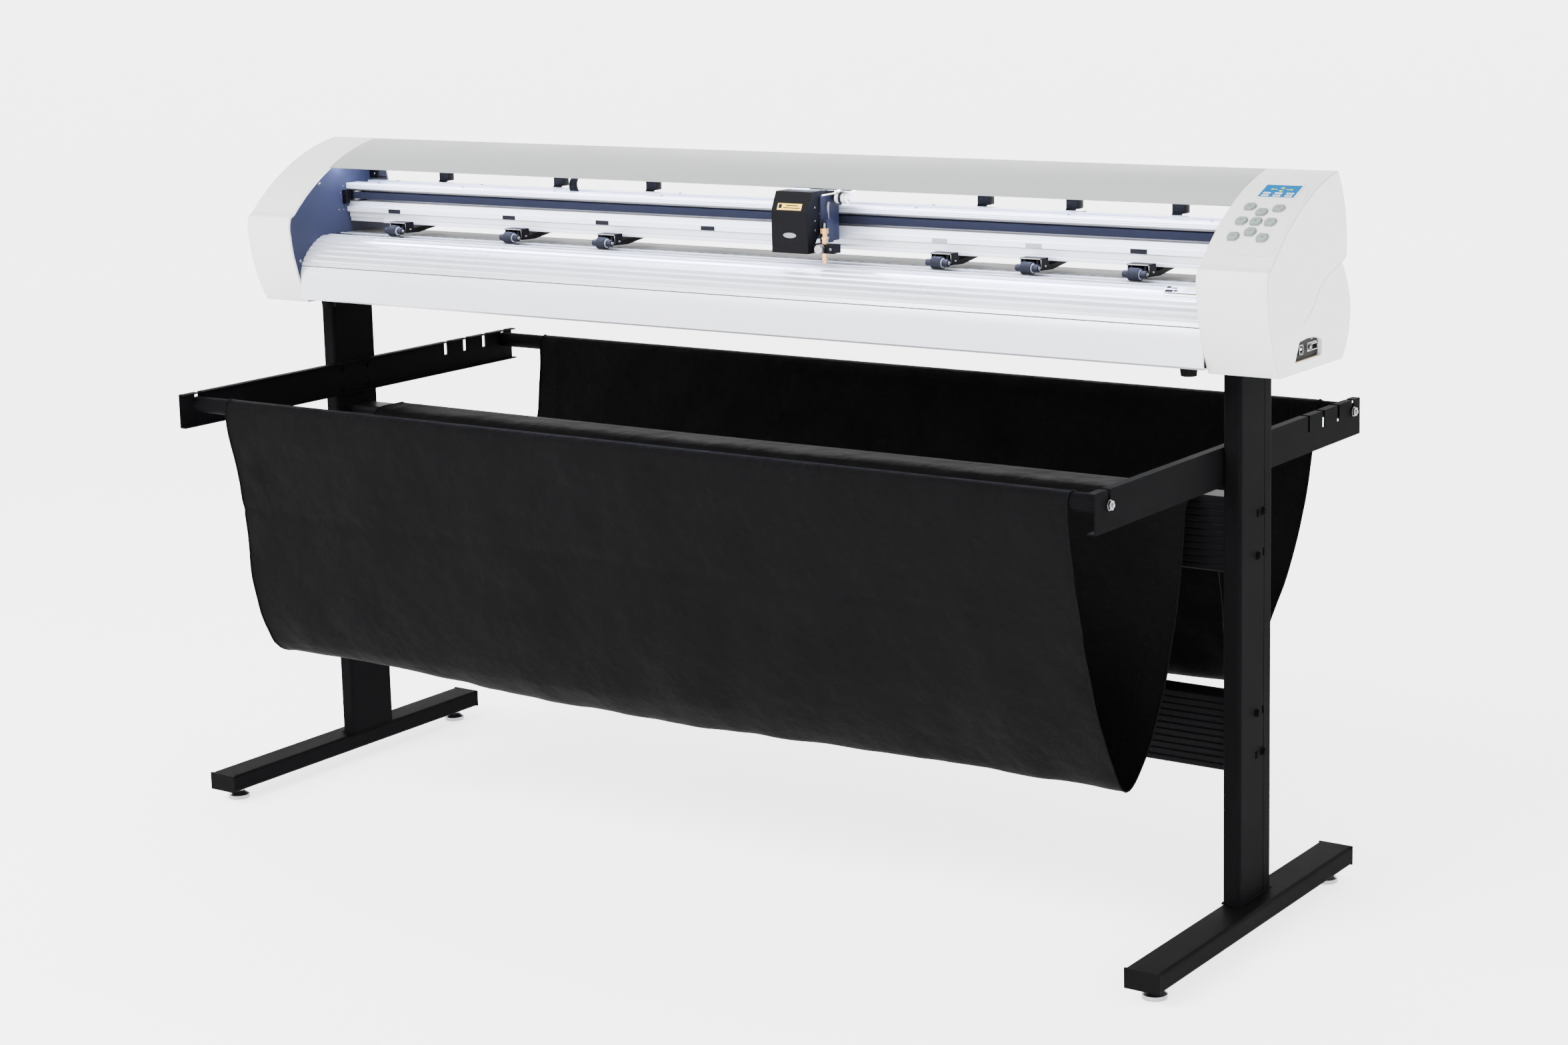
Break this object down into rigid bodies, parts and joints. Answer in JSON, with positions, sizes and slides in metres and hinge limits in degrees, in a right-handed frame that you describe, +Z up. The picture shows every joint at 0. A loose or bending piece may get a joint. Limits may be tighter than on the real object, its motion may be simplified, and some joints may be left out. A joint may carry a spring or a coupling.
{
  "type": "vinyl cutter on a floor stand",
  "caption": "Roll-fed printer cutter with a moving knife carriage, pinch rollers and a keypad, on a black stand with a cloth basket.",
  "frame": {"origin": "on the floor under the middle of the object's box", "axes": "+X along the head to the console end, +Z up, -Y towards the operator"},
  "size_m": [1.902, 0.835, 1.102],
  "materials": {
    "stand_black": "satin powder coat",
    "rail_black": "gloss black anodised extrusion",
    "foot_plastic": "moulded end plug",
    "bright_steel": "zinc plated or ground steel",
    "cloth_black": "woven nylon",
    "cap_white": "moulded shell, fine texture",
    "plate_navy": "dark powder coat",
    "cover_silver": "silver grey powder coat",
    "platen_white": "white powder coat",
    "pan_grey": "dark grey powder coat",
    "beam_white": "clear anodised extrusion",
    "belt_navy": "toothed belt",
    "lamp_white": "diffuser",
    "strip_grey": "soft cutting strip",
    "ribbon_black": "flat flexible cable",
    "screen_blue": "backlit display window",
    "board_dark": "circuit board and sockets",
    "motor_black": "motor body",
    "rubber_black": "moulded rubber",
    "inlet_black": "moulded inlet",
    "arm_black": "bent sheet, black",
    "roller_rubber": "moulded tyre on a hub",
    "pulley_metal": "turned",
    "frame_metal": "dark sheet metal",
    "carriage_black": "fine black coat",
    "holder_brass": "turned, knurled knob",
    "button_grey": "moulded key"
  },
  "bodies": {
    "root": {"foot_left": "stand_black", "foot_right": "stand_black", "column_left": "stand_black", "column_right": "stand_black", "basket_arm_left": "stand_black", "basket_arm_right": "stand_black", "basket_rods": "stand_black", "crossbeams": "rail_black", "foot_end_caps": "foot_plastic", "stand_bolts": "stand_black", "levelling_feet": "bright_steel", "pinch_pivot_rod": "bright_steel", "basket_front": "cloth_black", "basket_rear": "cloth_black", "end_cap_left": "cap_white", "end_cap_right": "cap_white", "side_plate_left": "plate_navy", "side_plate_right": "plate_navy", "top_cover": "cover_silver", "platen": "platen_white", "front_shell": "platen_white", "base_pan": "pan_grey", "beam": "beam_white", "timing_belt": "belt_navy", "led_strip": "lamp_white", "cutting_strip": "strip_grey", "ribbon_cable": "ribbon_black", "lcd_panel": "screen_blue", "mainboard": "board_dark", "drive_units": "motor_black", "rubber_feet": "rubber_black", "power_inlet": "inlet_black"},
    "feed_shaft": {"feed_shaft": "bright_steel"},
    "drive_pulley": {"drive_pulley": "pulley_metal"},
    "idler_pulley": {"idler_pulley": "pulley_metal"},
    "carriage": {"carriage_frame": "frame_metal", "carriage_cover": "carriage_black"},
    "blade_clamp": {"blade_clamp": "carriage_black"},
    "blade_holder": {"blade_holder": "holder_brass"},
    "pinch_arm_1": {"pinch_arm_1": "arm_black"},
    "pinch_roller_1": {"pinch_roller_1": "roller_rubber"},
    "pinch_arm_2": {"pinch_arm_2": "arm_black"},
    "pinch_roller_2": {"pinch_roller_2": "roller_rubber"},
    "pinch_arm_3": {"pinch_arm_3": "arm_black"},
    "pinch_roller_3": {"pinch_roller_3": "roller_rubber"},
    "pinch_arm_4": {"pinch_arm_4": "arm_black"},
    "pinch_roller_4": {"pinch_roller_4": "roller_rubber"},
    "pinch_arm_5": {"pinch_arm_5": "arm_black"},
    "pinch_roller_5": {"pinch_roller_5": "roller_rubber"},
    "pinch_arm_6": {"pinch_arm_6": "arm_black"},
    "pinch_roller_6": {"pinch_roller_6": "roller_rubber"},
    "button_1": {"button_1": "button_grey"},
    "button_2": {"button_2": "button_grey"},
    "button_3": {"button_3": "button_grey"},
    "button_4": {"button_4": "button_grey"},
    "button_5": {"button_5": "button_grey"},
    "button_6": {"button_6": "button_grey"},
    "button_7": {"button_7": "button_grey"},
    "button_8": {"button_8": "button_grey"},
    "button_9": {"button_9": "button_grey"}
  },
  "joints": [
    {"name": "feed_turn", "type": "hinge", "parent": "root", "child": "feed_shaft", "pos_m": [0, -0.059, 0.9375], "axis": [1, 0, 0], "continuous": true},
    {"name": "pinch_lift_1", "type": "hinge", "parent": "root", "child": "pinch_arm_1", "pos_m": [-0.717, 0.05, 0.975], "axis": [-1, 0, 0], "range_deg": [0, 4]},
    {"name": "pinch_turn_1", "type": "hinge", "parent": "pinch_arm_1", "child": "pinch_roller_1", "pos_m": [-0.717, -0.059, 0.957], "axis": [1, 0, 0], "continuous": true},
    {"name": "pinch_lift_2", "type": "hinge", "parent": "root", "child": "pinch_arm_2", "pos_m": [-0.462, 0.05, 0.975], "axis": [-1, 0, 0], "range_deg": [0, 4]},
    {"name": "pinch_turn_2", "type": "hinge", "parent": "pinch_arm_2", "child": "pinch_roller_2", "pos_m": [-0.462, -0.059, 0.957], "axis": [1, 0, 0], "continuous": true},
    {"name": "pinch_lift_3", "type": "hinge", "parent": "root", "child": "pinch_arm_3", "pos_m": [-0.267, 0.05, 0.975], "axis": [-1, 0, 0], "range_deg": [0, 4]},
    {"name": "pinch_turn_3", "type": "hinge", "parent": "pinch_arm_3", "child": "pinch_roller_3", "pos_m": [-0.267, -0.059, 0.957], "axis": [1, 0, 0], "continuous": true},
    {"name": "pinch_lift_4", "type": "hinge", "parent": "root", "child": "pinch_arm_4", "pos_m": [0.365, 0.05, 0.975], "axis": [-1, 0, 0], "range_deg": [0, 4]},
    {"name": "pinch_turn_4", "type": "hinge", "parent": "pinch_arm_4", "child": "pinch_roller_4", "pos_m": [0.365, -0.059, 0.957], "axis": [1, 0, 0], "continuous": true},
    {"name": "pinch_lift_5", "type": "hinge", "parent": "root", "child": "pinch_arm_5", "pos_m": [0.518, 0.05, 0.975], "axis": [-1, 0, 0], "range_deg": [0, 4]},
    {"name": "pinch_turn_5", "type": "hinge", "parent": "pinch_arm_5", "child": "pinch_roller_5", "pos_m": [0.518, -0.059, 0.957], "axis": [1, 0, 0], "continuous": true},
    {"name": "pinch_lift_6", "type": "hinge", "parent": "root", "child": "pinch_arm_6", "pos_m": [0.693, 0.05, 0.975], "axis": [-1, 0, 0], "range_deg": [0, 4]},
    {"name": "pinch_turn_6", "type": "hinge", "parent": "pinch_arm_6", "child": "pinch_roller_6", "pos_m": [0.693, -0.059, 0.957], "axis": [1, 0, 0], "continuous": true},
    {"name": "carriage_slide", "type": "slide", "parent": "root", "child": "carriage", "axis": [1, 0, 0], "range_m": [-0.945, 0.628]},
    {"name": "drive_pulley_turn", "type": "hinge", "parent": "root", "child": "drive_pulley", "pos_m": [0.868, -0.017, 1.01], "axis": [0, 0, 1], "continuous": true},
    {"name": "idler_pulley_turn", "type": "hinge", "parent": "root", "child": "idler_pulley", "pos_m": [-0.838, -0.017, 1.01], "axis": [0, 0, 1], "continuous": true},
    {"name": "blade_lift", "type": "slide", "parent": "carriage", "child": "blade_clamp", "axis": [0, 0, 1], "range_m": [-0.0015, 0.002]},
    {"name": "blade_depth_turn", "type": "hinge", "parent": "blade_clamp", "child": "blade_holder", "pos_m": [0.186, -0.092, 0.974], "axis": [0, 0, 1], "range_deg": [-180, 180]},
    {"name": "button_press_1", "type": "slide", "parent": "root", "child": "button_1", "axis": [0, 0.4848, -0.8746], "range_m": [0, 0.0012], "stiffness_N_per_m": 300},
    {"name": "button_press_2", "type": "slide", "parent": "root", "child": "button_2", "axis": [0, 0.5105, -0.8599], "range_m": [0, 0.0012], "stiffness_N_per_m": 300},
    {"name": "button_press_3", "type": "slide", "parent": "root", "child": "button_3", "axis": [0, 0.4879, -0.8729], "range_m": [0, 0.0012], "stiffness_N_per_m": 300},
    {"name": "button_press_4", "type": "slide", "parent": "root", "child": "button_4", "axis": [0, 0.5563, -0.831], "range_m": [0, 0.0012], "stiffness_N_per_m": 300},
    {"name": "button_press_5", "type": "slide", "parent": "root", "child": "button_5", "axis": [0, 0.5563, -0.831], "range_m": [0, 0.0012], "stiffness_N_per_m": 300},
    {"name": "button_press_6", "type": "slide", "parent": "root", "child": "button_6", "axis": [0, 0.5563, -0.831], "range_m": [0, 0.0012], "stiffness_N_per_m": 300},
    {"name": "button_press_7", "type": "slide", "parent": "root", "child": "button_7", "axis": [0, 0.6018, -0.7986], "range_m": [0, 0.0012], "stiffness_N_per_m": 300},
    {"name": "button_press_8", "type": "slide", "parent": "root", "child": "button_8", "axis": [0, 0.6225, -0.7826], "range_m": [0, 0.0012], "stiffness_N_per_m": 300},
    {"name": "button_press_9", "type": "slide", "parent": "root", "child": "button_9", "axis": [0, 0.6225, -0.7826], "range_m": [0, 0.0012], "stiffness_N_per_m": 300}
  ],
  "couplings": [
    {"joint": "pinch_turn_1", "follows": "feed_turn", "ratio": -1.087},
    {"joint": "pinch_turn_2", "follows": "feed_turn", "ratio": -1.087},
    {"joint": "pinch_turn_3", "follows": "feed_turn", "ratio": -1.087},
    {"joint": "pinch_turn_4", "follows": "feed_turn", "ratio": -1.087},
    {"joint": "pinch_turn_5", "follows": "feed_turn", "ratio": -1.087},
    {"joint": "pinch_turn_6", "follows": "feed_turn", "ratio": -1.087},
    {"joint": "drive_pulley_turn", "follows": "carriage_slide", "rad_per_m": 144.93},
    {"joint": "idler_pulley_turn", "follows": "carriage_slide", "rad_per_m": 144.93}
  ]
}
